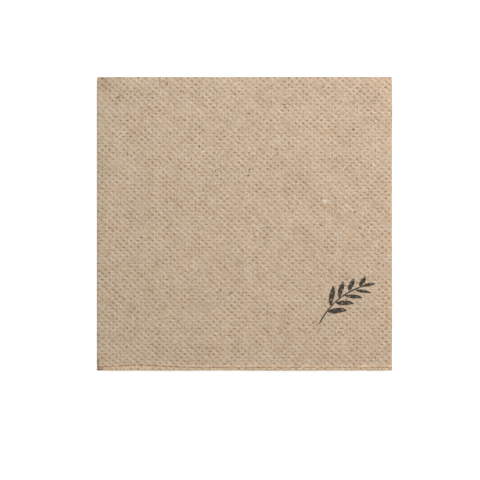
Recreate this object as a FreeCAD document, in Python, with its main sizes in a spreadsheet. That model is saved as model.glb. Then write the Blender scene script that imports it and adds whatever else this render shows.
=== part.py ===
"""Paper napkin, folded in quarters: one square sheet of two-ply tissue, folded twice.

The first fold runs along the back edge and makes a hairpin of two leaves. The second fold runs
along the left edge and turns that hairpin over on itself, so that four leaves lie on each other:

    leaf 4  outer, on top      joined to leaf 3 at the back, and to leaf 1 round the left edge
    leaf 3  inner              joined to leaf 2 round the left edge
    leaf 2  inner
    leaf 1  outer, underneath  joined to leaf 2 at the back

The front and the right edges are open. The first fold is a little off the middle of the sheet,
so the two outer leaves stop short of the inner ones along the front. The second fold springs
back a little, so the upper hairpin rises from the left fold to the open right edge.

Frame: +X to the right, +Y to the back, +Z up, in millimetres. The origin is the middle of the
underside. The napkin lies flat, as it does on a table.
"""

import FreeCAD, Part
import math
import os
import Sketcher

doc = FreeCAD.newDocument("paper_napkin")

# Driving dimensions, in millimetres
SIZES = [
    ("folded_width", 100.0, "left fold to the open right edge"),
    ("folded_depth", 100.0, "back fold to the front edge of the inner leaves"),
    ("paper_thickness", 0.35, "both plies with their embossing"),
    ("first_fold_gap", 0.25, "air between the two leaves of a hairpin"),
    ("second_fold_gap", 0.30, "air between the two hairpins"),
    ("outer_leaf_setback", 1.5, "how far the outer leaves stop short at the front"),
    ("open_edge_lift", 0.8, "how far the upper hairpin springs up at the open right edge"),
]

sizes = doc.addObject("Spreadsheet::Sheet", "Sizes")
for row, (alias, value, meaning) in enumerate(SIZES, start=1):
    sizes.set(f"A{row}", alias)
    sizes.set(f"B{row}", str(value))
    sizes.set(f"C{row}", meaning)
    sizes.setAlias(f"B{row}", alias)
doc.recompute()

# What follows from them, as expressions on the sheet
BEND_OUTER = "Sizes.paper_thickness + Sizes.first_fold_gap / 2"
PILE_HALF = "2 * Sizes.paper_thickness + Sizes.first_fold_gap + Sizes.second_fold_gap / 2"

START, END, CENTRE = 1, 2, 3
ORIGIN = (-1, START)
ACROSS = FreeCAD.Vector(0, 0, 1)
QUARTER_TURN = math.pi / 2


def point(x, y):
    return FreeCAD.Vector(x, y, 0)


def origin_plane(body, role):
    """One of the body's own base planes."""
    return next(feature for feature in body.Origin.OriginFeatures if feature.Role == role)


def sketch_on(body, name, role):
    """A new sketch of the body, flat on one of its base planes."""
    sketch = body.newObject("Sketcher::SketchObject", name)
    sketch.AttachmentSupport = (origin_plane(body, role), [""])
    sketch.MapMode = "FlatFace"
    return sketch


def bind(sketch, name, constraint, expression):
    """Adds a constraint under a name and ties its value to the sheet."""
    number = sketch.addConstraint(constraint)
    sketch.renameConstraint(number, name)
    sketch.setExpression(f"Constraints.{name}", expression)


def half_turn(centre, radius, first_angle):
    """An arc of half a circle, counterclockwise from first_angle."""
    circle = Part.Circle(centre, ACROSS, radius)
    return Part.ArcOfCircle(circle, first_angle, first_angle + math.pi)


def hairpin_section(body):
    """The section of one folded pair, seen from the right: outer leaf below, inner leaf above,
    joined at the back by a round bend. It stands at the open right edge."""
    width, depth = sizes.folded_width, sizes.folded_depth
    paper, gap = sizes.paper_thickness, sizes.first_fold_gap
    front_outer = -depth / 2 + sizes.outer_leaf_setback
    front_inner = -depth / 2
    bend_radius = paper + gap / 2
    bend_middle = depth / 2 - bend_radius

    sketch = sketch_on(body, "HairpinSection", "YZ_Plane")
    sketch.AttachmentOffset = FreeCAD.Placement(FreeCAD.Vector(0, 0, width / 2), FreeCAD.Rotation())
    sketch.setExpression("AttachmentOffset.Base.z", "Sizes.folded_width / 2")

    top = 2 * paper + gap
    outer_face = sketch.addGeometry(
        Part.LineSegment(point(front_outer, 0), point(bend_middle, 0)), False
    )
    bend_face = sketch.addGeometry(
        half_turn(point(bend_middle, bend_radius), bend_radius, -QUARTER_TURN), False
    )
    inner_face = sketch.addGeometry(
        Part.LineSegment(point(bend_middle, top), point(front_inner, top)), False
    )
    inner_edge = sketch.addGeometry(
        Part.LineSegment(point(front_inner, top), point(front_inner, paper + gap)), False
    )
    inner_back = sketch.addGeometry(
        Part.LineSegment(point(front_inner, paper + gap), point(bend_middle, paper + gap)), False
    )
    bend_back = sketch.addGeometry(
        half_turn(point(bend_middle, bend_radius), gap / 2, -QUARTER_TURN), False
    )
    outer_back = sketch.addGeometry(
        Part.LineSegment(point(bend_middle, paper), point(front_outer, paper)), False
    )
    outer_edge = sketch.addGeometry(
        Part.LineSegment(point(front_outer, paper), point(front_outer, 0)), False
    )

    def join(kind, first, first_end, second, second_end):
        sketch.addConstraint(Sketcher.Constraint(kind, first, first_end, second, second_end))

    join("Tangent", outer_face, END, bend_face, START)
    join("Tangent", bend_face, END, inner_face, START)
    join("Coincident", inner_face, END, inner_edge, START)
    join("Coincident", inner_edge, END, inner_back, START)
    join("Tangent", inner_back, END, bend_back, END)
    join("Tangent", bend_back, START, outer_back, START)
    join("Coincident", outer_back, END, outer_edge, START)
    join("Coincident", outer_edge, END, outer_face, START)
    join("Coincident", bend_face, CENTRE, bend_back, CENTRE)
    for level in (outer_face, inner_face, inner_back, outer_back):
        sketch.addConstraint(Sketcher.Constraint("Horizontal", level))
    for upright in (inner_edge, outer_edge):
        sketch.addConstraint(Sketcher.Constraint("Vertical", upright))
    sketch.addConstraint(Sketcher.Constraint("PointOnObject", outer_face, START, -1))

    bind(
        sketch, "bend_outer_radius",
        Sketcher.Constraint("Radius", bend_face, bend_radius), BEND_OUTER,
    )
    bind(
        sketch, "bend_inner_radius",
        Sketcher.Constraint("Radius", bend_back, gap / 2), "Sizes.first_fold_gap / 2",
    )
    bind(
        sketch, "bend_place",
        Sketcher.Constraint("DistanceX", *ORIGIN, bend_face, CENTRE, bend_middle),
        f"Sizes.folded_depth / 2 - ({BEND_OUTER})",
    )
    bind(
        sketch, "inner_leaf_reach",
        Sketcher.Constraint("DistanceX", inner_edge, START, *ORIGIN, -front_inner),
        "Sizes.folded_depth / 2",
    )
    bind(
        sketch, "outer_leaf_reach",
        Sketcher.Constraint("DistanceX", outer_edge, START, *ORIGIN, -front_outer),
        "Sizes.folded_depth / 2 - Sizes.outer_leaf_setback",
    )
    return sketch


def second_fold_path(body):
    """The way the hairpin is carried, seen from the front: along the table to the left, round
    the second fold and back to the right on top, rising to the open edge."""
    width = sizes.folded_width
    pile_half = (
        2 * sizes.paper_thickness + sizes.first_fold_gap + sizes.second_fold_gap / 2
    )
    turn_middle = pile_half - width / 2
    open_height = 2 * pile_half + sizes.open_edge_lift

    sketch = sketch_on(body, "SecondFoldPath", "XZ_Plane")
    below = sketch.addGeometry(
        Part.LineSegment(point(width / 2, 0), point(turn_middle, 0)), False
    )
    turn = sketch.addGeometry(
        half_turn(point(turn_middle, pile_half), pile_half, QUARTER_TURN), False
    )
    above = sketch.addGeometry(
        Part.LineSegment(point(turn_middle, 2 * pile_half), point(width / 2, open_height)), False
    )
    sketch.addConstraint(Sketcher.Constraint("Tangent", below, END, turn, END))
    sketch.addConstraint(Sketcher.Constraint("Tangent", turn, START, above, START))
    sketch.addConstraint(Sketcher.Constraint("Horizontal", below))
    sketch.addConstraint(Sketcher.Constraint("PointOnObject", below, START, -1))
    sketch.addConstraint(Sketcher.Constraint("Vertical", below, START, above, END))
    bind(sketch, "turn_radius", Sketcher.Constraint("Radius", turn, pile_half), PILE_HALF)
    bind(
        sketch, "turn_place",
        Sketcher.Constraint("DistanceX", turn, CENTRE, *ORIGIN, -turn_middle),
        f"Sizes.folded_width / 2 - ({PILE_HALF})",
    )
    bind(
        sketch, "right_edge",
        Sketcher.Constraint("DistanceX", *ORIGIN, below, START, width / 2),
        "Sizes.folded_width / 2",
    )
    bind(
        sketch, "open_edge_height",
        Sketcher.Constraint("DistanceY", *ORIGIN, above, END, open_height),
        f"2 * ({PILE_HALF}) + Sizes.open_edge_lift",
    )
    return sketch


def napkin():
    """The whole sheet as one solid: the hairpin section carried round the second fold."""
    body = doc.addObject("PartDesign::Body", "napkin")
    body.Label = "napkin"
    section = hairpin_section(body)
    path = second_fold_path(body)
    doc.recompute()
    fold = body.newObject("PartDesign::AdditivePipe", "FoldedSheet")
    fold.Profile = section
    fold.Spine = (path, [])
    fold.Mode = "Standard"
    body.Tip = fold
    return body


parts = [napkin()]
doc.recompute()

for thing in doc.Objects:
    if "Invalid" in thing.State or "Error" in thing.State:
        raise RuntimeError(f"{thing.Name} did not build: {thing.State}")
for thing in doc.Objects:
    if thing.TypeId == "Sketcher::SketchObject" and not thing.FullyConstrained:
        raise RuntimeError(f"{thing.Name} has a size or place that nothing sets")

os.makedirs("parts", exist_ok=True)
for part in parts:
    shape = part.Shape
    if shape.isNull() or not shape.isValid() or len(shape.Solids) != 1:
        raise RuntimeError(f"{part.Label} is not one valid solid")
    box = shape.optimalBoundingBox()
    print(
        f"{part.Label}: {box.XLength:.2f} x {box.YLength:.2f} x {box.ZLength:.2f} mm, "
        f"lowest {box.ZMin:.3f} mm, {shape.Volume:.0f} mm3, {len(shape.Faces)} faces"
    )
    shape.exportStep(f"parts/{part.Label}.step")
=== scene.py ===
# %% [markdown]
# # A paper napkin, folded in quarters
#
# The napkin is one square of unbleached two-ply tissue. It is folded at the back, then at the
# left, so four leaves lie on each other. The front and the right side are open. The tissue is
# embossed all over with small pressed points, which hold the two plies together.
#
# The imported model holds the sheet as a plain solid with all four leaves. This script makes the
# same sheet again as one closed mesh, with the points pressed into it, the swell of the leaves,
# the crimped folds and the wandering edges. Then it gives the paper its fibres and colours.

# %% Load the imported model
import math

import bmesh
import bpy
import numpy as np
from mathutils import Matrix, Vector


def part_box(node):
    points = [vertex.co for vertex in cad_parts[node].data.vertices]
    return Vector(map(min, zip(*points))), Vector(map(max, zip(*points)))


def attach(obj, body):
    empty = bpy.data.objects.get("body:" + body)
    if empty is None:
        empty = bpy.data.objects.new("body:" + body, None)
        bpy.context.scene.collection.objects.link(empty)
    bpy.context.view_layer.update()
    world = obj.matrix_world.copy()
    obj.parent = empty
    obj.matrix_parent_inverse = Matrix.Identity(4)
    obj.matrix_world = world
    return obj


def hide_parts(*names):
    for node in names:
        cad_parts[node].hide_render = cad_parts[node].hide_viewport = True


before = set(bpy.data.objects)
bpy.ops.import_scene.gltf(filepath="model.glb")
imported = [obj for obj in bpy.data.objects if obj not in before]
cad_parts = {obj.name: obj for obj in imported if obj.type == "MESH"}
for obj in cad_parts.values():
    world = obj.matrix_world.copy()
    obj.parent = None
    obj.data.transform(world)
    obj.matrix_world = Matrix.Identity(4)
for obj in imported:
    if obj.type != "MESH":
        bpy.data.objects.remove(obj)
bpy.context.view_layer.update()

# %% [markdown]
# ## Sizes
#
# All sizes below are in millimetres, as a paper maker would give them, and MM turns them to
# Blender's metres at the very end. The outline of the folded napkin comes from the solid. The
# paper and the air between the leaves are a little different at the folds, where the leaves are
# pinched together, and inside, where they swell.

# %% Sizes of the folded sheet
MM = 0.001
low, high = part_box("napkin")
LEFT, FRONT = low.x / MM, low.y / MM
RIGHT, BACK = high.x / MM, high.y / MM

PAPER = 0.35  # both plies with their embossing
PINCHED_GAP = 0.18  # air between the two leaves of a pair, at their bend
HAIRPIN_PUFF = 0.10  # more air between them, away from the bend
TURN_GAP = 0.22  # air between the two pairs, at the second fold
TURN_PUFF = 0.20  # more air between them, away from that fold
OPEN_LIFT = 0.60  # and still more at the open right side
SETBACK = 1.0  # how far the outer leaves stop short at the front
SHORT_CUT = 0.52  # how much the sheet is cut short of its nominal length
FOLD_OUT = 0.06  # how far the second fold springs out past the solid's
SIDE_CUT = 0.02  # how much the right edge is cut short
CREASE = 0.35  # the second fold is pressed flat: its depth over its height, 1 for a round one

BEND_RADIUS = (PAPER + PINCHED_GAP) / 2
BEND_Y = BACK - BEND_RADIUS - PAPER / 2
TURN_RADIUS = (3 * PAPER + 2 * (PINCHED_GAP + HAIRPIN_PUFF) + TURN_GAP) / 2
TURN_X = LEFT - FOLD_OUT + CREASE * (TURN_RADIUS + PAPER / 2)

HALF_BEND = BEND_RADIUS * math.pi / 2
HALF_TURN = TURN_RADIUS * (1 + CREASE) / 2 * math.pi / 2
SIDE_REACH = RIGHT - SIDE_CUT - TURN_X
INNER_REACH = BEND_Y - FRONT - SHORT_CUT
OUTER_REACH = INNER_REACH - SETBACK

# %% [markdown]
# ## The embossing
#
# A steel roller presses the two plies together at points that stand in a staggered pattern: each
# row is shifted by half a pitch. Two cosines multiplied give that pattern, with its peaks at the
# points. Raised to a power, the peaks shrink to small dents with flat paper between them. One more
# cosine makes them narrower from front to back, so each is a short dash across the sheet. No two
# dents are alike, so each one gets a depth of its own from a seeded table. A bump in the material
# would be less work, but it looks flat from the side, so the dents are in the mesh itself.

# %% Pressed points
PITCH_ACROSS = 2.43
PITCH_ALONG = 2.20
PIT_SHARE = 1.45  # depth of a pit over half the paper's thickness
PIT_SHARPNESS = 3.0
SHALLOWEST_PIT = 0.35
DEEPEST_PIT = 1.20
PIT_SEED = 7
TABLE_SIZE = 256
GRID_STEPS = 6  # grid lines to one pitch, on the top leaf

SIDE_CELLS = 240
FRONT_CELLS = 264
TRIM = 0.12  # how much the last row of cells is narrower than the rest
# The first pits, counted back in whole cells from the cut edges
FIRST_PIT_A = HALF_TURN + SIDE_REACH + SIDE_CUT + TRIM - SIDE_CELLS * PITCH_ACROSS / GRID_STEPS
FIRST_PIT_B = HALF_BEND + OUTER_REACH + TRIM - FRONT_CELLS * PITCH_ALONG / GRID_STEPS

pit_table = np.random.default_rng(PIT_SEED).uniform(
    SHALLOWEST_PIT, DEEPEST_PIT, (TABLE_SIZE, TABLE_SIZE)
)


def pits(a, b):
    """How deep the embossing is at a point of the flat sheet, 0 on the lands and about 1 in a pit.

    With s and d the sum and the difference of the two places counted in pitches, a pit lies where
    both are whole. The depth is (half plus a quarter of cos 2 pi s plus a quarter of cos 2 pi d)
    to the power of PIT_SHARPNESS, times |cos 2 pi along|, times the number that the table has for
    the nearest pit."""
    across = (a - FIRST_PIT_A) / PITCH_ACROSS
    along = (b - FIRST_PIT_B) / PITCH_ALONG
    total, difference = across + along, across - along
    profile = 0.5 + 0.25 * np.cos(2 * np.pi * total) + 0.25 * np.cos(2 * np.pi * difference)
    dash = np.abs(np.cos(2 * np.pi * along))
    row = np.round(total).astype(int) % TABLE_SIZE
    column = np.round(difference).astype(int) % TABLE_SIZE
    return profile**PIT_SHARPNESS * dash * pit_table[row, column]


top_leaf_pits = 2 * SIDE_REACH * OUTER_REACH / (PITCH_ACROSS * PITCH_ALONG)
print(f"{top_leaf_pits:.0f} pressed points on the top leaf")

# %% [markdown]
# ## Uneven paper
#
# Tissue never lies quite flat. A handful of plane waves with random directions and lengths, added
# up, makes a smooth random swell that is the same on each run. The same function with short waves
# makes the cut edges wander.

# %% A smooth random field
WAVES = 14
# The shortest and the longest wave in millimetres, and the seed
LONG_WAVES = (22, 55, 3)
SHORT_WAVES = (7, 15, 4)
LIP_WAVES = (3, 12, 5)
EDGE_WAVES = (14, 60, 11)
FRAY_WAVES = (0.9, 3.0, 12)


def swell(x, y, shortest, longest, seed):
    """A random height of about plus or minus 1: the sum of some waves
    sin(2 pi (x cos d + y sin d) / length + start), over the square root of half their number."""
    draw = np.random.default_rng(seed)
    headings = draw.uniform(0, 2 * np.pi, WAVES)
    lengths = draw.uniform(shortest, longest, WAVES)
    starts = draw.uniform(0, 2 * np.pi, WAVES)
    height = np.zeros(np.broadcast(x, y).shape)
    for heading, length, start in zip(headings, lengths, starts):
        distance = x * math.cos(heading) + y * math.sin(heading)
        height += np.sin(2 * np.pi * distance / length + start)
    return height / math.sqrt(WAVES / 2)


# %% [markdown]
# ## Four leaves, two folds
#
# A point of the flat sheet has two coordinates. `a` runs across the second fold: above zero is the
# upper pair of leaves, below zero the lower pair. `b` runs across the first fold: above zero are
# the outer leaves, below zero the inner ones. Near zero the paper is in the round of a fold, and
# past that it runs straight, `u` mm from the second fold and `v` mm from the first.
#
# Cloth simulation could fold a sheet too, but these folds have to lie where the solid has them, so
# each point's place is worked out by a formula. The leaves' heights come first, then the edges
# and then the folding.

# %% Heights of the leaves
CUT_THINNING = 0.85
CUT_WIDTH = 0.6
FOLD_REACH = 1.7  # how far from the second fold the air between the pairs opens
BEND_REACH = 1.2  # how far from the first fold the air within a pair opens
LONG_SWELL = 0.07
SHORT_SWELL = 0.019
LIP = 0.045
LIP_SINK = 0.012
LIP_WIDTH = 0.7
LIP_WAVER = 0.3  # how much of the lip is random
FRONT_PINCH = 0.35
PINCH_WIDTH = 3.0
DROOP = 0.07
DROOP_WIDTH = 1.6
CORNER_DENT = 0.09
CORNER_REACH = 5.0
CREASE_PITCH = 3.1
CREASE_SHARE = 0.4  # how much of the dent comes and goes with the creases


def thickness(u, v, reach):
    """The paper's thickness. The blade pressed the plies together, so within a millimetre or so
    of a cut edge they thin, by CUT_THINNING times exp(-distance to the cut / CUT_WIDTH)."""
    to_cut = np.maximum(np.minimum(SIDE_REACH - u, reach - v), 0)
    return PAPER * (1 - CUT_THINNING * np.exp(-to_cut / CUT_WIDTH))


def leaf_middles(u, v):
    """The height of the middle of each leaf's paper, from the lowest to the top one.

    The air between two leaves grows from its pinched width at a fold as u u / (u u + reach reach).
    The upper pair also rises with u, rolls in a random swell, and droops at its free right edge
    as exp(-distance / width). At the open front the two inner leaves come up and down to the
    outer ones in the same way. There the top leaf ends in a small lip, up near the fold and down
    near the open corner. The lowest leaf lies on the table. Where the two folds meet, the top
    leaf has a dent with a few slanting creases."""
    from_turn = u * u / (u * u + FOLD_REACH**2)
    from_bend = v * v / (v * v + BEND_REACH**2)
    rolling = LONG_SWELL * swell(u, v, *LONG_WAVES) + SHORT_SWELL * swell(u, v, *SHORT_WAVES)
    droop = DROOP * np.exp((u - SIDE_REACH) / DROOP_WIDTH)
    waver = LIP_WAVER * swell(u, v, *LIP_WAVES)
    lip = LIP * (np.cos(np.pi * u / SIDE_REACH) + waver) - LIP_SINK
    lip = lip * np.exp(-np.abs(OUTER_REACH - v) / LIP_WIDTH)
    creases = np.sin(2 * np.pi * (u - v) / CREASE_PITCH)
    uneven = 1 - CREASE_SHARE + CREASE_SHARE * creases
    dent = CORNER_DENT * np.exp(-(u * u + v * v) / CORNER_REACH**2) * uneven
    pinch = FRONT_PINCH * np.exp(-np.maximum(OUTER_REACH - v, 0) / PINCH_WIDTH)
    pair_gap = PINCHED_GAP + HAIRPIN_PUFF * from_bend - pinch
    middle_gap = TURN_GAP + TURN_PUFF * from_turn + OPEN_LIFT * u / SIDE_REACH
    lowest = thickness(u, v, OUTER_REACH) / 2
    second = lowest + PAPER + pair_gap
    third = second + PAPER + middle_gap + 2 * pinch + from_turn * rolling - droop
    top = third + PAPER + pair_gap + lip - dent
    return lowest, second, third, top


open_side = leaf_middles(SIDE_REACH, OUTER_REACH / 2)
print("leaves at the open side, mm up:", [round(float(leaf), 2) for leaf in open_side])

# %% Edges that wander
EDGE_POWER = 24
SIDE_WANDER = 0.045
FRONT_WANDER = 0.018
LOWER_BACK = 0.30  # the lower pair lies a little further back than the upper one
STEP_BACK = 0.82
STEP_BACK_X = -35.5
STEP_BACK_WIDTH = 10.0
FRAY = 0.035
NEXT_STRETCH = 137.0  # how far along the waves the next leaf reads them


def wander(along, leaf, most):
    """How far an edge stands off its straight line: a long random wave, and a fray of short ones.
    Each leaf reads another stretch of the same waves."""
    stretch = along + NEXT_STRETCH * leaf
    wave = most * swell(stretch, 0 * stretch, *EDGE_WAVES)
    return wave + FRAY * swell(stretch, 0 * stretch, *FRAY_WAVES)


def edge_offsets(x, y, u, v, upper, inner):
    """How far the edges move a point to the right and to the back. The wandering grows as the
    24th power of the way from the fold to the edge, so only the last few millimetres follow it.
    upper and inner are the shares of the upper pair and of the inner leaf, 0 to 1 round the
    folds, so that an edge runs on from leaf to leaf. The top leaf stops further back near its
    left end, in a bell curve along x."""
    reach = OUTER_REACH + inner * (INNER_REACH - OUTER_REACH)
    to_side = (u / SIDE_REACH) ** EDGE_POWER
    to_front = (v / reach) ** EDGE_POWER
    level = np.round(upper)
    outer_side = wander(y, level, SIDE_WANDER)
    inner_side = wander(y, level + 2, SIDE_WANDER)
    level = np.round(inner)
    lower_front = wander(x, level + 4, FRONT_WANDER)
    upper_front = wander(x, level + 6, FRONT_WANDER)
    bell = STEP_BACK * np.exp(-(((x - STEP_BACK_X) / STEP_BACK_WIDTH) ** 2))
    aside = to_side * (outer_side + inner * (inner_side - outer_side))
    lower_front = lower_front + LOWER_BACK
    back = to_front * (lower_front + upper * (upper_front - lower_front + (1 - inner) * bell))
    return aside, back


right_edge = wander(np.linspace(FRONT, BACK, SIDE_CELLS), 1, SIDE_WANDER)
print(f"the right edge wanders by {np.ptp(right_edge):.2f} mm")

# %% The folding itself
OUTSIDE, INSIDE = 1, -1
POINT_HEIGHT = 0.04  # how far the points stand out on the inside
FLARE = 0.20  # how far the inner leaves' fold springs out at the front
FLARE_POWER = 120


def folded(a, b, face):
    """The place of a point of the flat sheet, on the outside or the inside of its paper.

    The first fold is a half circle of radius BEND_RADIUS that takes the outer leaf to the inner
    one: its angle is b / HALF_BEND quarter turns, held at one quarter turn either way, and the
    share of the inner leaf is (1 - sin angle) / 2. The second fold does the same with a: at each
    share it is half an ellipse from the height of the lower pair to that of the upper pair. A face
    stands half the paper's thickness off the middle, less the depth of the pits. At the open
    front the inside has them a little raised, and stays full up to the cut. Where the inner
    leaves come out at the front, their fold is free of the outer one and springs out to it."""
    turn = np.clip(a / HALF_TURN, -1, 1) * math.pi / 2
    bend = np.clip(b / HALF_BEND, -1, 1) * math.pi / 2
    u = np.maximum(np.abs(a) - HALF_TURN, 0)
    v = np.maximum(np.abs(b) - HALF_BEND, 0)
    lowest, second, third, top = leaf_middles(u, v)
    upper = (1 + np.sin(turn)) / 2
    inner = (1 - np.sin(bend)) / 2
    reach = OUTER_REACH + inner * (INNER_REACH - OUTER_REACH)
    half = thickness(u, v, reach) / 2
    if face == OUTSIDE:
        off = half * (1 - PIT_SHARE * pits(a, b) * np.clip(2 - 2 * inner, 0, 1))
    else:
        half = half + inner * (PAPER / 2 - half)
        off = -half - POINT_HEIGHT * pits(a, b) * (b < -FRONT_BAND_START)
    below = lowest + inner * (second - lowest) - off * np.sin(bend)
    above = top + inner * (third - top) + off * np.sin(bend)
    radius = (above - below) / 2
    flare = FLARE * inner * (v / reach) ** FLARE_POWER
    x = TURN_X - (CREASE * radius + flare) * np.cos(turn) + u
    y = BEND_Y + (BEND_RADIUS + off) * np.cos(bend) - v
    z = (above + below) / 2 + radius * np.sin(turn)
    aside, back = edge_offsets(x, y, u, v, upper, inner)
    return np.stack([x + aside, y + back, z], axis=-1)


middle = folded(np.zeros(1), np.zeros(1), OUTSIDE)[0]
print("the middle of the flat sheet comes to lie at, in mm:", middle.round(2))

# %% [markdown]
# ## A grid with fine and coarse blocks
#
# The grid's lines are laid so that a line runs through every row of pits. The top leaf has six
# lines to a pitch. The leaves that nobody sees need far fewer faces, so each block of the grid
# has a step: a face there spans several lines. Where a coarse block meets a fine one, its faces
# take in the finer points on their rim, so the mesh stays closed. That keeps the piece under
# 200,000 triangles with real pits on both outer faces.

# %% Grid lines
TURN_STEPS, TURN_SIDE_STEPS = 12, 4
BEND_STEPS, BEND_SIDE_STEPS = 12, 3
LOWER_CELLS, LOWER_STEPS = 160, 4  # the underside has four lines to a pitch
HIDDEN_CELLS = 32
BAND_CELLS = 12  # the front band of the inner leaves, where leaf 3 shows

a_end = HALF_TURN + SIDE_REACH
b_end_outer = HALF_BEND + OUTER_REACH
b_end_inner = HALF_BEND + INNER_REACH
across_step = PITCH_ACROSS / GRID_STEPS
along_step = PITCH_ALONG / GRID_STEPS
lower_step = PITCH_ACROSS / LOWER_STEPS
lower_start = FIRST_PIT_A - math.ceil((FIRST_PIT_A + HALF_TURN) / lower_step + 2) * lower_step
FRONT_BAND_START = b_end_inner - BAND_CELLS * along_step


def steps(start, stop, count):
    """Evenly spaced places from start to stop, without the stop."""
    return np.linspace(start, stop, count, endpoint=False)


a_lines = np.concatenate([
    lower_start - lower_step * np.arange(LOWER_CELLS, 0, -1),
    steps(lower_start, -HALF_TURN, TURN_SIDE_STEPS),
    steps(-HALF_TURN, HALF_TURN, TURN_STEPS),
    steps(HALF_TURN, FIRST_PIT_A, TURN_SIDE_STEPS),
    FIRST_PIT_A + across_step * np.arange(SIDE_CELLS),
    [a_end],
])
a_lines[0] = -a_end
b_lines = np.concatenate([
    steps(-b_end_inner, -FRONT_BAND_START, BAND_CELLS),
    steps(-FRONT_BAND_START, -FIRST_PIT_B, HIDDEN_CELLS),
    steps(-FIRST_PIT_B, -HALF_BEND, BEND_SIDE_STEPS),
    steps(-HALF_BEND, HALF_BEND, BEND_STEPS),
    steps(HALF_BEND, FIRST_PIT_B, BEND_SIDE_STEPS),
    FIRST_PIT_B + along_step * np.arange(FRONT_CELLS),
    [b_end_outer],
])
print(f"{len(b_lines)} rows and {len(a_lines)} columns of grid lines")
assert (np.diff(a_lines) > 0).all() and (np.diff(b_lines) > 0).all()

# %% Blocks and their steps
COLUMN_BLOCKS = [LOWER_CELLS, 2 * TURN_SIDE_STEPS + TURN_STEPS, SIDE_CELLS]
ROW_BLOCKS = [BAND_CELLS, HIDDEN_CELLS, 2 * BEND_SIDE_STEPS + BEND_STEPS, FRONT_CELLS]
# Each row of the tables is a block of rows: front band, hidden, bend, outer leaves.
# Each pair is the step over rows and columns, for the lower leaf, the turn and the upper leaf.
OUTSIDE_STEPS = [
    [(3, 8), (3, 2), (3, 12)],
    [(2, 8), (2, 2), (2, 12)],
    [(1, 1), (1, 1), (1, 1)],
    [(3, 1), (1, 1), (1, 1)],
]
INSIDE_STEPS = [
    [(3, 8), (3, 4), (1, 1)],
    [(2, 8), (2, 4), (2, 6)],
    [(3, 8), (3, 4), (3, 6)],
    [(6, 8), (6, 4), (6, 6)],
]


def block_slices(sizes):
    """The stretch of grid lines of each block, with the line that it shares with the next."""
    ends = np.concatenate([[0], np.cumsum(sizes)])
    return [slice(start, stop + 1) for start, stop in zip(ends[:-1], ends[1:])]


def grid_blocks(number, table, turned):
    """Every block of one face of the sheet: its point numbers, its two steps, and whether its
    faces are turned over."""
    return [
        (number[rows, columns], *table[i][j], turned)
        for i, rows in enumerate(block_slices(ROW_BLOCKS))
        for j, columns in enumerate(block_slices(COLUMN_BLOCKS))
    ]


def rim_blocks(outer, inner, sizes, coarser, turned):
    """The strips that close the first and the last row of the sheet, each between a line of
    points on the outside and one on the inside, in the coarser of their two steps."""
    return [
        (np.stack([outer[at, lines], inner[at, lines]]), 1, coarser[at, block], way)
        for at, way in ((0, turned), (-1, not turned))
        for block, lines in enumerate(block_slices(sizes))
    ]


def block_faces(number, row_step, column_step, turned, in_use):
    """The corners of a block's faces, one after another, and how many each face has. A face goes
    round the rim of its cells, and keeps only the rim points that some block has in use."""
    across = np.arange(column_step)
    down = np.arange(row_step)
    rim_rows = np.concatenate([0 * across, down, row_step + 0 * across, row_step - down])
    rim_columns = np.concatenate([across, column_step + 0 * down, column_step - across, 0 * down])
    if turned:
        rim_rows, rim_columns = rim_rows[::-1], rim_columns[::-1]
    rows = np.arange(0, number.shape[0] - 1, row_step)[:, None, None] + rim_rows
    columns = np.arange(0, number.shape[1] - 1, column_step)[None, :, None] + rim_columns
    rings = number[rows, columns].reshape(-1, len(rim_rows))
    kept = in_use[rings]
    return rings[kept], kept.sum(axis=1)


print(len(ROW_BLOCKS) * len(COLUMN_BLOCKS), "blocks on each face of the sheet")

# %% The sheet as points and faces
shape = (len(b_lines), len(a_lines))
outer_numbers = np.arange(shape[0] * shape[1]).reshape(shape)
inner_numbers = outer_numbers + outer_numbers.size
b_grid, a_grid = np.meshgrid(b_lines, a_lines, indexing="ij")
points = np.concatenate([
    folded(a_grid, b_grid, OUTSIDE).reshape(-1, 3),
    folded(a_grid, b_grid, INSIDE).reshape(-1, 3),
])
flat_a = np.tile(a_grid.ravel(), 2)
flat_b = np.tile(b_grid.ravel(), 2)

outside_blocks = grid_blocks(outer_numbers, OUTSIDE_STEPS, True)
inside_blocks = grid_blocks(inner_numbers, INSIDE_STEPS, False)
coarser = np.maximum(OUTSIDE_STEPS, INSIDE_STEPS)
front_edges = rim_blocks(outer_numbers, inner_numbers, COLUMN_BLOCKS, coarser[..., 1], False)
# Turned on their side, the tables have the sheet's two sides as first and last row
side_edges = rim_blocks(outer_numbers.T, inner_numbers.T, ROW_BLOCKS, coarser[..., 0].T, True)

in_use = np.zeros(2 * outer_numbers.size, bool)
for number, row_step, column_step, turned in outside_blocks + inside_blocks:
    in_use[number[::row_step, ::column_step]] = True

OUT, IN, FRONT_EDGE, SIDE_EDGE = range(4)
parts = [
    (*block_faces(*block, in_use), kind)
    for kind, blocks in enumerate([outside_blocks, inside_blocks, front_edges, side_edges])
    for block in blocks
]
corners = np.concatenate([part[0] for part in parts])
counts = np.concatenate([part[1] for part in parts])
face_kind = np.concatenate([np.full(len(part[1]), part[2]) for part in parts])
corner_kind = np.repeat(face_kind, counts)
print(f"{len(counts)} faces, {int((counts - 2).sum())} triangles")

# %% [markdown]
# ## Two maps on the sheet
#
# `Sheet` holds each point's place on the flat sheet in millimetres, so that fibres, pits and the
# print follow the paper round its folds. The inside face lies 300 mm further along, so that it
# has other fibres. `OFBake` packs the same faces into one square for a picture of the finish,
# and gives the top leaf and the folds most of it.

# %% Map coordinates
INSIDE_SHIFT = 300.0
EDGE_STRETCH = 1 + PAPER / a_end
MAP_START, MAP_END = 0.004, 0.996
UPPER_START = 0.190
OUTSIDE_ROWS = [MAP_START, 0.060, 0.900]
INSIDE_ROWS = [0.905, 0.945, 0.965]
FIRST_LINE, LINE_STEP, LINE_WIDTH = 0.970, 0.007, 0.004


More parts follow.
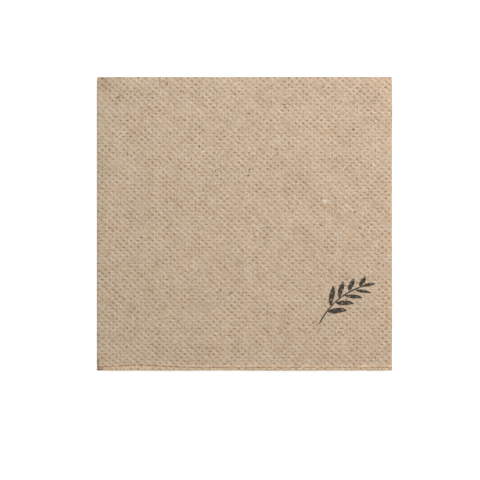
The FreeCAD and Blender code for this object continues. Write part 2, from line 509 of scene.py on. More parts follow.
def sheet_map(point, kind):
    """Flat places in millimetres. The cut edge's inner line is pushed outwards by the paper's
    thickness, as if the edge were laid flat too."""
    on_inside = point >= outer_numbers.size
    stretch = np.where((kind >= FRONT_EDGE) & on_inside, EDGE_STRETCH, 1.0)
    shift = np.where(kind == IN, INSIDE_SHIFT, 0.0)
    return np.stack([flat_a[point] * stretch, flat_b[point] * stretch + shift], axis=-1)


def bake_map(point, kind):
    """Places in the unit square: the outside gets the large lower part, the inside a band above
    it, and the cut edges one thin line each at the top. Along both ways the hidden leaves are
    squeezed, by straight pieces between the stops given."""
    on_inside = point >= outer_numbers.size
    a, b = flat_a[point], flat_b[point]
    a_stops = [-a_end, -FIRST_PIT_A, a_end]
    outer_u = np.interp(a, a_stops, [MAP_START, UPPER_START, MAP_END])
    outer_v = np.interp(b, [-b_end_inner, -FIRST_PIT_B, b_end_outer], OUTSIDE_ROWS)
    inner_v = np.interp(b, [-b_end_inner, -FRONT_BAND_START, b_end_outer], INSIDE_ROWS)
    on_side = kind == SIDE_EDGE
    far = np.where(on_side, a, b) > 0
    edge_v = FIRST_LINE + LINE_STEP * (2 * on_side + far) + LINE_WIDTH * on_inside
    along_side = np.interp(b, [-b_end_inner, b_end_outer], [MAP_START, MAP_END])
    u = np.where(on_side, along_side, outer_u)
    v = np.select([kind == OUT, kind == IN], [outer_v, inner_v], edge_v)
    return np.stack([u, v], axis=-1)


print(f"the outer leaves take {OUTSIDE_ROWS[2] - OUTSIDE_ROWS[1]:.0%} of the bake map's height")

# %% Build the mesh
def placed(name, data):
    """A new object in the scene."""
    thing = bpy.data.objects.new(name, data)
    bpy.context.scene.collection.objects.link(thing)
    return thing


def napkin_mesh():
    """Puts the points and faces in a mesh, in metres, with both maps. The cut edges are shaded
    flat, which keeps their corners crisp, and the faces of the paper smooth."""
    used, numbered = np.unique(corners, return_inverse=True)
    mesh = bpy.data.meshes.new("napkin_sheet")
    mesh.vertices.add(len(used))
    mesh.vertices.foreach_set("co", (points[used] * MM).astype(np.float32).ravel())
    mesh.loops.add(len(corners))
    mesh.loops.foreach_set("vertex_index", numbered.astype(np.int32).ravel())
    mesh.polygons.add(len(counts))
    starts = np.concatenate([[0], np.cumsum(counts)[:-1]])
    mesh.polygons.foreach_set("loop_start", starts.astype(np.int32))
    mesh.polygons.foreach_set("use_smooth", face_kind < FRONT_EDGE)
    mesh.update(calc_edges=True)
    for name, places in (
        ("Sheet", sheet_map(corners, corner_kind)),
        ("OFBake", bake_map(corners, corner_kind)),
    ):
        layer = mesh.uv_layers.new(name=name)
        layer.uv.foreach_set("vector", places.astype(np.float32).ravel())
    return mesh


napkin = placed("napkin_sheet", napkin_mesh())

check = bmesh.new()
check.from_mesh(napkin.data)
open_edges = sum(not edge.is_manifold for edge in check.edges)
turned_edges = sum(not edge.is_contiguous for edge in check.edges)
volume = check.calc_volume(signed=True) / MM**3
check.free()
print(f"open edges {open_edges}, edges between faces that disagree {turned_edges}")
print(f"volume {volume:.0f} mm3, above zero when the faces point outwards")

# %% [markdown]
# ## The finish: unbleached, point-embossed tissue
#
# Unbleached tissue is made of short recycled fibres and keeps their colour: a warm tan with
# patches that lean to pink or to grey-green, dark bits of bark and ink, and now and then a
# coloured thread. It is fully matt. All of it is made by nodes on the `Sheet` map, so it stays
# sharp at any size and turns with the folds.
#
# Colours are given as sRGB hex values, and one function turns them to the linear values that
# Blender works with. One helper adds a node.

# %% Colours and the node helper
def linear(hex_code):
    """A linear colour: each sRGB share c becomes ((c + 0.055) / 1.055) to the power 2.4, or
    c / 12.92 where c is below 0.04045."""
    shares = [int(hex_code[i : i + 2], 16) / 255 for i in (1, 3, 5)]
    return [c / 12.92 if c < 0.04045 else ((c + 0.055) / 1.055) ** 2.4 for c in shares] + [1.0]


def add(tree, kind, *inputs, **settings):
    """Adds a shader node. inputs fill its sockets in order, each a value, a socket or a node,
    whose first output is taken. A setting with a capital names a socket, with _ for a space, and
    any other is a property of the node."""
    node = tree.nodes.new("ShaderNode" + kind)
    for name, value in settings.items():
        if not name[0].isupper():
            setattr(node, name, value)
    sockets = [socket for socket in node.inputs if socket.enabled]
    named = {socket.name: socket for socket in reversed(sockets)}
    filled = list(zip(sockets, inputs))
    for name, value in settings.items():
        if name[0].isupper():
            filled.append((named[name.replace("_", " ")], value))
    for socket, value in filled:
        if isinstance(value, bpy.types.Node):
            value = next(output for output in value.outputs if output.enabled)
        if isinstance(value, bpy.types.NodeSocket):
            tree.links.new(value, socket)
        else:
            socket.default_value = value
    return node


def empty_tree(owner):
    """The node tree of a material or a world, with nothing in it yet."""
    owner.use_nodes = True
    owner.node_tree.nodes.clear()
    return owner.node_tree


print("mid grey as a linear value:", round(linear("#808080")[0], 3))

# %% [markdown]
# ### Pits in the shader
#
# The mesh has the pits already. The same formula, worked out again in nodes, darkens their colour,
# partly as painted shade, and sharpens their bottoms in the bump. The places are shaken by a little
# noise first, because the bond points of real tissue are ragged.

# %% Pits as a shade
RAGGED = 0.75  # how far the places are shaken, in mm
RAGGED_SCALE = 0.8
SHADE_SHARPNESS = 4.2
PATCHY_SCALE = 0.22
PATCHY_RANGE = (0.33, 0.67, 0.45, 1.25)  # from these values of the noise to these strengths


def pit_shade(tree, sheet):
    """0 on the lands and about 1 in a pit: the product of two cosines, halved and lifted to run
    from 0 to 1, to a power, times the size of the one along the sheet, times a strength that
    changes slowly over the sheet."""
    shake = add(tree, "TexNoise", sheet, Scale=RAGGED_SCALE, Detail=2.0, noise_dimensions="2D")
    centred = add(tree, "VectorMath", shake.outputs["Color"], (0.5, 0.5, 0.5), operation="SUBTRACT")
    pushed = add(
        tree, "VectorMath", centred, (RAGGED, RAGGED, 0.0), sheet, operation="MULTIPLY_ADD"
    )
    place = add(tree, "SeparateXYZ", pushed).outputs
    waves = []
    for axis, first, pitch in (("X", FIRST_PIT_A, PITCH_ACROSS), ("Y", FIRST_PIT_B, PITCH_ALONG)):
        turns = 2 * math.pi / pitch
        angle = add(tree, "Math", place[axis], turns, -first * turns, operation="MULTIPLY_ADD")
        waves.append(add(tree, "Math", angle, operation="COSINE"))
    product = add(tree, "Math", *waves, operation="MULTIPLY")
    lifted = add(tree, "Math", product, 0.5, 0.5, operation="MULTIPLY_ADD")
    sharp = add(tree, "Math", lifted, SHADE_SHARPNESS, operation="POWER")
    dash = add(tree, "Math", waves[1], operation="ABSOLUTE")
    shape = add(tree, "Math", sharp, dash, operation="MULTIPLY")
    patchy = add(tree, "TexNoise", sheet, Scale=PATCHY_SCALE, Detail=3.0, noise_dimensions="2D")
    strength = add(tree, "MapRange", patchy, *PATCHY_RANGE)
    return add(tree, "Math", shape, strength, operation="MULTIPLY")


print(f"shaded pits every {PITCH_ACROSS} by {PITCH_ALONG} mm, as in the mesh")

# %% [markdown]
# ### Colour of the pulp
#
# Patches of two tints, about a millimetre wide, come from the mixed fibres. In the pits both tints
# turn to a darker, warmer one: partly the compressed fibres, and partly painted shade and painted
# warm bounce light. All scales are in features to a millimetre of the sheet.

# %% Tints of the fibres
TAN = "#D2BAA2"
ROSY = "#D7B398"
GREENISH = "#CCBFA7"
TINTED = 0.37  # how much of the two tints there is in the tan
TINT_SCALE = 0.9
DRIFT_SCALE = 0.11
DRIFT = 0.20  # how much a slow noise adds to the fine one that mixes the tints
ROSY_DRIFT = 0.0009  # how much more of the rosy tint there is for each millimetre to the right
TINT_RANGE = (0.495, 0.785, 0.0, 1.0)
# Pit colours: compressed fibres, darkened further by painted shade and warmed by painted bounce
# light.
BROWN_PIT = "#B8956D"
OLIVE_PIT = "#AC9670"
PIT_DARKENING = 0.51  # how much of that colour a pit has


def fibre_tints(tree, sheet, place, pit):
    """Mixes the two tints by a fine noise and a slow one, with more of the rosy one to the right,
    and the pair into the tan. The pits darken to brown or olive with the same noise: compressed
    fibres, with painted shade and painted warm bounce light."""
    tints = add(
        tree, "TexNoise", sheet,
        Scale=TINT_SCALE, Detail=3.0, Roughness=0.6, noise_dimensions="2D",
    )
    drifts = add(tree, "TexNoise", sheet, Scale=DRIFT_SCALE, Detail=2.0, noise_dimensions="2D")
    tints = add(tree, "Math", drifts, DRIFT, tints, operation="MULTIPLY_ADD")
    tints = add(tree, "Math", place["X"], ROSY_DRIFT, tints, operation="MULTIPLY_ADD")
    tint = add(tree, "MapRange", tints, *TINT_RANGE)
    two_tints = add(tree, "Mix", tint, linear(GREENISH), linear(ROSY), data_type="RGBA")
    colour = add(tree, "Mix", TINTED, linear(TAN), two_tints, data_type="RGBA")
    pressed = add(tree, "Math", pit, PIT_DARKENING, operation="MULTIPLY")
    crushed_and_shaded = add(tree, "Mix", tint, linear(OLIVE_PIT), linear(BROWN_PIT), data_type="RGBA")
    return add(tree, "Mix", pressed, colour, crushed_and_shaded, data_type="RGBA")


print(f"{TINTED:.0%} of the two tints in the tan")

# %% [markdown]
# ### The rim and the inside
#
# The last millimetres before the cut front edge are painted lighter, in patches and more towards
# the right: a painted highlight along the rim. Over the last fraction of a millimetre the edge is
# painted warmer, as a painted warm shade. The inside of the sheet, where it shows at the front, is
# painted lighter and warmer, to lift it out of the shade that it lies in.

# %% Rim and inside
# Painted light: a highlight along the front rim, growing to the right, a warm shade at the cut, and
# a lighter, warmer inside.
INSIDE_LIGHT_TONE = (1.20, 1.14, 1.08, 1.0)
RIM_LIGHT_WIDTH = 1.7
RIM_LIGHT_AT_FOLD, RIM_LIGHT_AT_SIDE = 0.20, 0.48  # how much lighter the rim is at its two ends
RIM_PATCH_SCALE = 0.6
RIM_PATCH_RANGE = (0.3, 0.7, 0.5, 1.5)
WARM_SHADE_WIDTH = 0.4
WARM_SHADE_TONE = (1.13, 1.0, 0.88)


def painted_rim_and_inside(tree, sheet, place):
    """What the colour is multiplied by, all of it painted light: on the outside 1, rising to a
    painted highlight over the last millimetres before the cut front edge and turning to a painted
    warm shade right at the cut, and on the inside, 300 mm along the map, one lighter and warmer
    tone."""
    along = place["Y"]
    rim_patches = add(tree, "TexNoise", sheet, Scale=RIM_PATCH_SCALE, Detail=2.0, noise_dimensions="2D")
    rim_patchiness = add(tree, "MapRange", rim_patches, *RIM_PATCH_RANGE)
    rim_light_amount = add(tree, "MapRange", place["X"], 0.0, a_end, RIM_LIGHT_AT_FOLD, RIM_LIGHT_AT_SIDE)
    lightest = add(tree, "Math", rim_light_amount, rim_patchiness, 1.0, operation="MULTIPLY_ADD")
    rim_light = add(tree, "MapRange", along, b_end_outer - RIM_LIGHT_WIDTH, b_end_outer, 1.0, lightest)
    painted_warm_shade = add(
        tree, "MapRange", along, (b_end_outer - WARM_SHADE_WIDTH,) * 3, (b_end_outer,) * 3,
        (1.0, 1.0, 1.0), WARM_SHADE_TONE, data_type="FLOAT_VECTOR",
    )
    rim = add(tree, "VectorMath", painted_warm_shade, Scale=rim_light, operation="SCALE")
    on_inside = add(tree, "Math", along, INSIDE_SHIFT / 2, operation="GREATER_THAN")
    return add(tree, "Mix", on_inside, rim, INSIDE_LIGHT_TONE, data_type="RGBA")


print(f"the rim is up to {RIM_LIGHT_AT_SIDE * RIM_PATCH_RANGE[-1]:.0%} lighter")

# %% [markdown]
# ### Light and dark in the pulp
#
# Four sizes of light and dark lie over that: clouds of a centimetre, where the sheet is thicker
# or thinner, flocks of about 3 mm, and bunches of fibres of about a millimetre and half of that.
# In all but the clouds the dark places are a little warmer than the light ones, because the dark
# fibres are brown. Each size is a noise texture whose values become factors of the colour.

# %% Clouds, flocks and fibres
DARK_TONE = np.array([1.095, 0.976, 0.846])
LIGHT_TONE = np.array([0.925, 1.002, 1.056])
WARM_TONE = np.array([1.031, 1.000, 0.953])
COOL_TONE = np.array([0.974, 1.000, 1.042])
EVEN_TONE = np.ones(3)
PATCHES = [
    # features to a millimetre, detail, darkest shade, lightest shade
    (0.10, 2.0, 0.962 * EVEN_TONE, 1.038 * EVEN_TONE),
    (0.30, 3.0, 0.903 * WARM_TONE, 1.092 * COOL_TONE),
    (1.10, 3.0, 0.840 * DARK_TONE, 1.140 * LIGHT_TONE),
    (2.10, 3.0, 0.680 * DARK_TONE, 1.280 * LIGHT_TONE),
]
NEXT_NOISE = 50.0  # how far apart across the map two sizes read the same noise
NOISE_ALONG = 20.0  # and how far along it all of them read it
NOISE_LOW, NOISE_HIGH = 0.25, 0.75


def pulp_colour(tree, sheet, pit):
    """The fibres' tints, times the painted light of the rim or the inside, times a shade of each
    size, which runs from its darkest to its lightest as the noise goes from NOISE_LOW to
    NOISE_HIGH."""
    place = add(tree, "SeparateXYZ", sheet).outputs
    tints = fibre_tints(tree, sheet, place, pit)
    colour = add(tree, "VectorMath", tints, painted_rim_and_inside(tree, sheet, place), operation="MULTIPLY")
    for number, (scale, detail, darkest, lightest) in enumerate(PATCHES):
        shift = (NEXT_NOISE * number, NOISE_ALONG, 0.0)
        moved = add(tree, "VectorMath", sheet, shift, operation="ADD")
        patches = add(
            tree, "TexNoise", moved,
            Scale=scale, Detail=detail, Roughness=0.65, noise_dimensions="2D",
        )
        shade = add(
            tree, "MapRange", patches, (NOISE_LOW,) * 3, (NOISE_HIGH,) * 3,
            tuple(darkest), tuple(lightest), data_type="FLOAT_VECTOR",
        )
        colour = add(tree, "VectorMath", colour, shade, operation="MULTIPLY")
    return colour


print(len(PATCHES), "sizes of light and dark")

# %% [markdown]
# ### Bits in the pulp
#
# A Voronoi texture scatters one point to a cell. Each cell has random numbers in its colour, and
# only a few cells pass the test that shows their bit. Stretching and turning the texture first
# makes the bits long, like slivers of fibre.

# %% Bits of bark, ink and thread
BITS = [
    # colour, cells to a millimetre, length over width, heading in degrees, radius in mm, share
    ("#4A3A28", 0.40, 1.8, 35.0, 0.20, 0.006),
    ("#4F4234", 0.50, 1.4, -50.0, 0.17, 0.007),
    ("#6E4E30", 0.60, 2.4, -35.0, 0.19, 0.016),
    ("#7A5A38", 0.70, 3.0, -15.0, 0.15, 0.040),
    ("#8A6A48", 0.75, 3.6, 70.0, 0.13, 0.050),
    ("#5E5A4C", 0.65, 2.0, 20.0, 0.16, 0.020),
    ("#EFE6D6", 0.30, 1.3, 10.0, 0.24, 0.012),
    ("#7E6548", 0.45, 11.0, -28.0, 0.075, 0.060),
    ("#E2D3BC", 0.40, 9.0, 15.0, 0.080, 0.060),
    ("#A8324A", 0.12, 1.4, 60.0, 0.16, 0.010),
    ("#C98A34", 0.14, 1.6, -30.0, 0.20, 0.020),
]
BIT_CORE = 0.6  # the part of a bit's radius that is full, before its soft rim
NEXT_SCATTER = (31.0, 17.0)  # how far apart on the map two kinds read the same cells


def with_bits(tree, sheet, colour):
    """Lays each kind of bit over the colour. A bit shows where its cell's random number is below
    the share and the distance to its point is within the radius, with a soft rim."""
    for number, (hue, cells, slender, heading, radius, share) in enumerate(BITS):
        turned = add(
            tree, "Mapping", sheet, vector_type="TEXTURE",
            Location=(NEXT_SCATTER[0] * number, NEXT_SCATTER[1] * number, 0.0),
            Rotation=(0.0, 0.0, math.radians(heading)),
            Scale=(slender / cells, 1 / cells, 1.0),
        )
        scatter = add(tree, "TexVoronoi", turned, Scale=1.0, voronoi_dimensions="2D")
        random = add(tree, "SeparateXYZ", scatter.outputs["Color"])
        chosen = add(tree, "Math", random.outputs["X"], share, operation="LESS_THAN")
        reach = radius * cells
        near = add(
            tree, "MapRange", scatter.outputs["Distance"], BIT_CORE * reach, reach, 1.0, 0.0
        )
        shows = add(tree, "Math", chosen, near, operation="MULTIPLY")
        colour = add(tree, "Mix", shows, colour, linear(hue), data_type="RGBA")
    return colour


print(len(BITS), "kinds of bits")

# %% [markdown]
# ### Single marks
#
# A few bits and threads are larger than the rest. They are laid one by one, as small soft ellipses:
# a Mapping node of the texture kind moves, turns and shrinks the sheet until the ellipse is a
# circle of size 1. The last five are painted shade at the two corners of the second fold: darker
# creases and a darker patch where the two folds meet at the back, and the shade in the open end of
# the fold at the front.

# %% Marks laid one by one
MARKS = [
    # colour, x and y on the top leaf, half length, half width, heading, strength
    ("#453422", 1.7, 18.5, 0.46, 0.32, -35.0, 0.95),
    ("#43301C", 14.6, -33.5, 0.40, 0.30, 35.0, 0.92),
    ("#5C432B", 36.8, 32.1, 0.58, 0.34, 35.0, 0.85),
    ("#3B2E1E", -42.6, 43.1, 0.52, 0.34, -50.0, 0.95),
    ("#54402A", 37.2, 4.1, 0.52, 0.30, 80.0, 0.92),
    ("#543C24", -26.2, 47.9, 0.46, 0.26, -15.0, 0.88),
    ("#48341F", -20.9, -28.2, 0.40, 0.32, -40.0, 0.92),
    ("#4A3A28", -39.5, 23.6, 0.40, 0.31, -60.0, 0.90),
    ("#4A3420", 1.3, 16.5, 0.52, 0.32, 35.0, 0.92),
    ("#4E3C28", 10.8, 25.4, 0.55, 0.27, -60.0, 0.85),
    ("#54422E", 13.4, 40.5, 0.72, 0.26, 0.0, 0.85),
    ("#54422E", 25.9, -0.4, 0.75, 0.26, -8.0, 0.85),
    ("#7A4A08", 26.7, 46.5, 0.52, 0.34, 35.0, 0.90),
    ("#5A4630", 7.5, -30.4, 0.36, 0.26, 0.0, 0.75),
    ("#54462F", 39.0, -1.3, 0.55, 0.30, -60.0, 0.85),
    ("#4A3C28", -35.0, -4.4, 0.60, 0.28, -10.0, 0.85),
    ("#8E1E3C", 41.2, 47.3, 0.36, 0.30, 0.0, 0.92),
    ("#FFFCF6", 27.2, 7.8, 0.88, 0.50, -20.0, 1.00),
    ("#FFAC70", 25.7, -7.9, 0.46, 0.32, 0.0, 0.85),
    ("#F4B64E", 35.7, -4.3, 0.52, 0.40, -50.0, 0.80),
    ("#C08030", -16.6, 6.2, 0.42, 0.34, 80.0, 0.60),
    ("#E2AE62", 4.8, -9.1, 0.40, 0.30, -70.0, 0.60),
    # Painted shade: creases and a darker patch where the two folds meet at the back left, and the
    # shade in the fold's open end at the front left.
    ("#87694A", -47.8, 49.2, 1.50, 0.34, -8.0, 0.50),
    ("#87694A", -48.0, 47.0, 1.20, 0.36, -32.0, 0.45),
    ("#8C7356", -48.2, 47.6, 5.00, 4.20, -45.0, 0.20),
    ("#86603E", -49.0, -48.9, 0.90, 0.70, 0.0, 0.45),
    ("#6E5034", -49.9, -47.2, 2.60, 0.95, 90.0, 0.50),
]
MARK_CORE = 0.45  # the part of a mark that is full


def on_top_leaf(x, y):
    """The place on the sheet's map of a place on the top leaf."""
    return x - TURN_X + HALF_TURN, BEND_Y - y + HALF_BEND


def with_marks(tree, sheet, colour):
    """Lays each mark over the colour, full in its middle and fading to its rim. The map
    runs from back to front, so a heading turns the other way round on it."""
    for hue, x, y, half_length, half_width, heading, strength in MARKS:
        squashed = add(
            tree, "Mapping", sheet, vector_type="TEXTURE",
            Location=(*on_top_leaf(x, y), 0.0),
            Rotation=(0.0, 0.0, -math.radians(heading)),
            Scale=(half_length, half_width, 1.0),
        )
        distance = add(tree, "VectorMath", squashed, operation="LENGTH")
        shows = add(tree, "MapRange", distance, MARK_CORE, 1.0, strength, 0.0)
        colour = add(tree, "Mix", shows, colour, linear(hue), data_type="RGBA")
    return colour


print(len(MARKS), "marks laid by hand")

# %% [markdown]
# ### A printed sprig
#
# The front right corner of the top leaf carries a plain sprig in one dark ink: a bowed stem with
# slender leaves that alternate on its two sides, and one at its tip. It could be painted as a
# picture, but a formula in the sheet's own millimetres stays sharp. First comes the bowed line of
# the stem, and how far along it and off it a point lies.

# %% Stem of the sprig
PRINT_X, PRINT_Y = 33.0, -27.2
STEM_LENGTH = 20.0
STEM_HEADING = 40.0
STEM_BOW = 2.2


def lens(tree, share, off, bulge):
    """Above zero inside a leaf: share (1 - share) times its bulge, less the way off its axis.
    share runs from 0 at the leaf's foot to 1 at its tip, and the bulge is four times the leaf's
    half width. With the bow of the stem for the half width, it gives the way off the bowed line."""
    rest = add(tree, "Math", 1.0, share, operation="SUBTRACT")
    swelling = add(tree, "Math", share, rest, operation="MULTIPLY")
    width = add(tree, "Math", swelling, bulge, operation="MULTIPLY")
    return add(tree, "Math", width, off, operation="SUBTRACT")


def stem_place(tree, sheet):
    """How far along the stem a point of the sheet lies, and how far off its bowed line."""
    place_a, place_b = on_top_leaf(PRINT_X, PRINT_Y)
    centred = add(tree, "VectorMath", sheet, (-place_a, -place_b, 0.0), operation="ADD")
    upright = add(tree, "VectorMath", centred, (1.0, -1.0, 0.0), operation="MULTIPLY")
    turned = add(
        tree, "Mapping", upright,
        Location=(STEM_LENGTH / 2, 0.0, 0.0),
        Rotation=(0.0, 0.0, -math.radians(STEM_HEADING)),
    )
    place = add(tree, "SeparateXYZ", turned).outputs
    share = add(tree, "Math", place["X"], STEM_LENGTH, operation="DIVIDE")
    bow = lens(tree, share, place["Y"], 4 * STEM_BOW)
    return place["X"], bow


print(f"a stem of {STEM_LENGTH:.0f} mm, bowed by {STEM_BOW} mm")

# %% [markdown]
# Each leaf is the space between two parabolas. The leaves get smaller towards the tip, and the
# lowest part of the stem is bare.

# %% Leaves of the sprig
STEM_WIDTH = 0.50
LEAF_SPACING = 3.9
LEAF_HEADING = 44.0  # degrees between a leaf and the stem
LEAF_LENGTH = 8.0
LEAF_HALF_WIDTH = 1.15
BARE_STEM = 3.4  # how far up the stem the first leaf stands
TIP_OVERLAP = 1.0  # how far before the stem's end the last leaf starts
TAPER = 0.45  # how much smaller the last leaf is than the first
INK_RIM = 0.05


def sprig_mask(tree, sheet):
    """1 on the ink and 0 beside it.

    A leaf's axis leaves the stem at LEAF_HEADING. From any point such a line leads back to a
    foot on the stem, and the nearest foot of a leaf, a multiple of LEAF_SPACING with the left
    and right leaves half a spacing apart, is the leaf that may cover the point."""
    along, bow = stem_place(tree, sheet)
    side = add(tree, "Math", bow, operation="SIGN")
    off = add(tree, "Math", bow, operation="ABSOLUTE")
    heading = math.radians(LEAF_HEADING)
    foot = add(tree, "Math", off, -1 / math.tan(heading), along, operation="MULTIPLY_ADD")
    shifted = add(tree, "Math", side, LEAF_SPACING / 4, foot, operation="MULTIPLY_ADD")
    cell = add(tree, "Math", shifted, LEAF_SPACING, operation="SNAP")
    middle = add(tree, "Math", cell, LEAF_SPACING / 2, operation="ADD")
    beside = add(tree, "Math", shifted, middle, operation="SUBTRACT")
    slant = add(tree, "Math", beside, math.sin(heading), operation="MULTIPLY")
    off_axis = add(tree, "Math", slant, operation="ABSOLUTE")
    size = add(tree, "Math", middle, -TAPER / STEM_LENGTH, 1.0, operation="MULTIPLY_ADD")
    length = add(tree, "Math", size, LEAF_LENGTH, operation="MULTIPLY")
    reach = add(tree, "Math", off, 1 / math.sin(heading), operation="MULTIPLY")
    share = add(tree, "Math", reach, length, operation="DIVIDE")
    bulge = add(tree, "Math", size, 4 * LEAF_HALF_WIDTH, operation="MULTIPLY")
    side_leaf = lens(tree, share, off_axis, bulge)
    above_foot = add(tree, "Math", middle, BARE_STEM, operation="SUBTRACT")
    below_tip = add(tree, "Math", STEM_LENGTH - LEAF_SPACING / 3, middle, operation="SUBTRACT")
    on_stem = add(tree, "Math", above_foot, below_tip, operation="MINIMUM")
    leaves = add(tree, "Math", side_leaf, on_stem, operation="MINIMUM")
    tip = add(tree, "Math", along, STEM_LENGTH - TIP_OVERLAP, operation="SUBTRACT")
    tip_share = add(tree, "Math", tip, LEAF_LENGTH * (1 - TAPER), operation="DIVIDE")
    tip_leaf = lens(tree, tip_share, off, 4 * LEAF_HALF_WIDTH * (1 - TAPER))
    beside_stem = add(tree, "Math", STEM_WIDTH / 2, off, operation="SUBTRACT")
    short_of_end = add(tree, "Math", STEM_LENGTH, along, operation="SUBTRACT")
    past_end = add(tree, "Math", along, short_of_end, operation="MINIMUM")
    stem = add(tree, "Math", beside_stem, past_end, operation="MINIMUM")
    shape = add(tree, "Math", leaves, stem, operation="MAXIMUM")
    shape = add(tree, "Math", shape, tip_leaf, operation="MAXIMUM")
    return add(tree, "MapRange", shape, -INK_RIM, INK_RIM, 0.0, 1.0)


print(f"leaves every {LEAF_SPACING} mm on each side")

# %% [markdown]
# The ink is water based and doesn't reach the bottoms of the pits, so the embossing shows through
# it. Here and there the rough paper has let it go.

# %% Ink
INK = "#33322B"
INK_GAP_SCALE = 3.0
INK_GAP_RANGE = (0.28, 0.46, 0.70, 1.0)
DRY_PIT = 0.55  # how much of the ink a pit lacks


def printed(tree, sheet, pit, colour):
    """Lays the ink over the paper on the outside of the upper leaves, thinner in the pits and
    where the rough paper has let it go."""
    ink = sprig_mask(tree, sheet)
    gaps = add(tree, "TexNoise", sheet, Scale=INK_GAP_SCALE, Detail=3.0, noise_dimensions="2D")
    cover = add(tree, "MapRange", gaps, *INK_GAP_RANGE)
    dry = add(tree, "Math", pit, -DRY_PIT, 1.0, operation="MULTIPLY_ADD")
    thin = add(tree, "Math", cover, dry, operation="MULTIPLY")
    amount = add(tree, "Math", ink, thin, operation="MULTIPLY")
    return add(tree, "Mix", amount, colour, linear(INK), data_type="RGBA")


print(f"a pit has {1 - DRY_PIT:.0%} of the ink")

# %% [markdown]
# ### The paper's relief
#
# Between the pits the tissue is a felt of crossing fibres, which the light from one side picks
# out. The fibres are about 0.03 mm thick, too fine to show here, so they are drawn as bunches of
# about 0.3 mm. A Bump node tilts the shading by them without any more faces. Its distance is in
# metres, like everything in the scene.

# %% Tissue material
BUMP_HEIGHT = 0.22
FELT_SCALE = 2.8
PIT_RELIEF = 1.12  # how much deeper a pit is in the bump than the felt is high


def tissue_material():
    """Unbleached recycled tissue, point embossed: fully matt, so it looks the same from every
    side, with a breath of sheen from the loose fibres at grazing angles."""
    material = bpy.data.materials.new("kraft_tissue_point_embossed")
    tree = empty_tree(material)
    sheet = add(tree, "UVMap", uv_map="Sheet").outputs["UV"]
    pit = pit_shade(tree, sheet)
    colour = pulp_colour(tree, sheet, pit)
    colour = with_bits(tree, sheet, colour)
    colour = with_marks(tree, sheet, colour)
    colour = printed(tree, sheet, pit, colour)
    felt = add(
        tree, "TexNoise", sheet,
        Scale=FELT_SCALE, Detail=3.0, Roughness=0.6, noise_dimensions="2D",
    )
    relief = add(tree, "Math", pit, -PIT_RELIEF, felt, operation="MULTIPLY_ADD")
    bump = add(tree, "Bump", Strength=1.0, Distance=BUMP_HEIGHT * MM, Height=relief)
    surface = add(
        tree, "BsdfPrincipled",
        Base_Color=colour, Roughness=0.95, Specular_IOR_Level=0.25,
        Sheen_Weight=0.08, Sheen_Roughness=0.6, Normal=bump,
    )
    add(tree, "OutputMaterial", surface)
    return material


napkin.data.materials.append(tissue_material())
finish = napkin.data.materials[0]
print("material:", finish.name, "with", len(finish.node_tree.nodes), "nodes")

# %% [markdown]
# ## The floor
#
# The napkin lies on a plain pale floor. For the camera, and for mirrors and glass, the floor
# glows up to white, so the background is clean. For the paper it is only a pale matt surface, so
# no extra light comes up from it, and the paper's soft shadow still falls on it.

# %% Floor
FLOOR_SIZE = 6.0
FLOOR_GREY = "#D8D6D2"
FLOOR_GLOW = 0.80


def seen_directly(tree):
    """1 for rays that come from the camera, a mirror or glass."""
    rays = add(tree, "LightPath").outputs
    either = add(tree, "Math", rays["Is Camera Ray"], rays["Is Glossy Ray"], operation="MAXIMUM")
    return add(tree, "Math", either, rays["Is Transmission Ray"], operation="MAXIMUM")


def floor_material():
    """A matt board. Seen directly it also glows, by the share that it lacks to white."""
    material = bpy.data.materials.new("matt_white_board")
    tree = empty_tree(material)
    glow = add(tree, "Math", seen_directly(tree), FLOOR_GLOW, operation="MULTIPLY")
    board = add(
        tree, "BsdfPrincipled",
        Base_Color=linear(FLOOR_GREY), Roughness=1.0, Specular_IOR_Level=0.0,
        Emission_Color=(1.0, 1.0, 1.0, 1.0), Emission_Strength=glow,
    )
    add(tree, "OutputMaterial", board)
    return material


half = FLOOR_SIZE / 2
floor_mesh = bpy.data.meshes.new("floor")
floor_mesh.from_pydata(
    [(-half, -half, 0), (half, -half, 0), (half, half, 0), (-half, half, 0)], [], [(0, 1, 2, 3)]
)
floor_mesh.materials.append(floor_material())
floor = placed("floor", floor_mesh)
print("floor:", FLOOR_SIZE, "m square at height 0")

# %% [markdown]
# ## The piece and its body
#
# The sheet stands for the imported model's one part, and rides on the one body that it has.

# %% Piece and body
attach(napkin, "root")
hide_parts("napkin")

# %% [markdown]
# ## Light
#
# One large soft lamp stands at the upper right, so each pit has a dark wall towards the lamp and
# a bright one away from it. The white room fills the rest. The lamp is a little cool and the room
# a little warm, as a window is and the walls that its light comes back from. The two add up to
# about the light at which a colour renders as it is written.

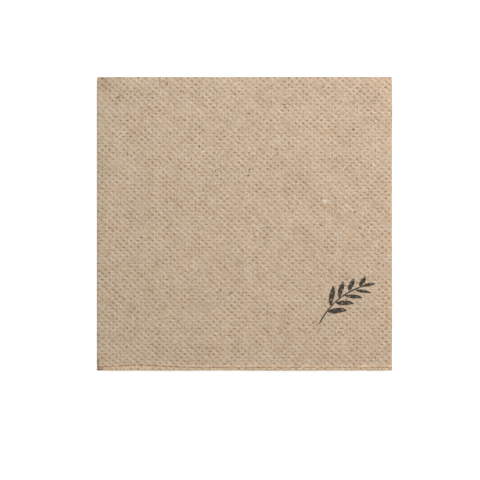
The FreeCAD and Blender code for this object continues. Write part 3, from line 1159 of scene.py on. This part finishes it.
# %% Lamp and world
LAMP_SIZE = 0.275
LAMP_DISTANCE = 0.63
LAMP_HEADING = 50.0
LAMP_HEIGHT_ANGLE = 48.0
LAMP_POWER = 3.65
LAMP_COLOUR = (0.97, 1.0, 1.05)
FILL = 0.33
FILL_COLOUR = (1.05, 1.0, 0.92, 1.0)
WHITE = (1.0, 1.0, 1.0, 1.0)

heading = math.radians(LAMP_HEADING)
climb = math.radians(LAMP_HEIGHT_ANGLE)
lamp_data = bpy.data.lights.new("soft_lamp", "AREA")
lamp_data.shape = "SQUARE"
lamp_data.size = LAMP_SIZE
lamp_data.energy = LAMP_POWER
lamp_data.color = LAMP_COLOUR
lamp = placed("soft_lamp", lamp_data)
lamp.location = (
    LAMP_DISTANCE * math.cos(climb) * math.cos(heading),
    LAMP_DISTANCE * math.cos(climb) * math.sin(heading),
    LAMP_DISTANCE * math.sin(climb),
)
lamp.rotation_euler = lamp.location.to_track_quat("Z", "Y").to_euler()

world = bpy.data.worlds.new("white_room")
bpy.context.scene.world = world
tree = empty_tree(world)
brightness = add(tree, "MapRange", seen_directly(tree), 0.0, 1.0, FILL, 1.0)
tint = add(tree, "Mix", seen_directly(tree), FILL_COLOUR, WHITE, data_type="RGBA")
room = add(tree, "Background", tint, brightness)
add(tree, "OutputWorld", room)
print("lamp at", [round(value, 3) for value in lamp.location])

# %% [markdown]
# ## Camera
#
# The camera looks straight down, a little in front of the napkin's middle.

# %% Camera
LENS = 100.0
SENSOR = 36.0
CAMERA_X, CAMERA_Y = -1.51, -5.31
PICTURE_WIDTH = 162.2  # how much of the table the picture takes in, at the paper's height

camera_data = bpy.data.cameras.new("camera")
camera_data.lens = LENS
camera_data.sensor_width = SENSOR
camera = placed("camera", camera_data)
height = PICTURE_WIDTH * LENS / SENSOR + high.z / MM
camera.location = (CAMERA_X * MM, CAMERA_Y * MM, height * MM)
bpy.context.scene.camera = camera
bpy.context.scene.view_settings.view_transform = "Standard"
print(f"camera {height:.0f} mm above the table")
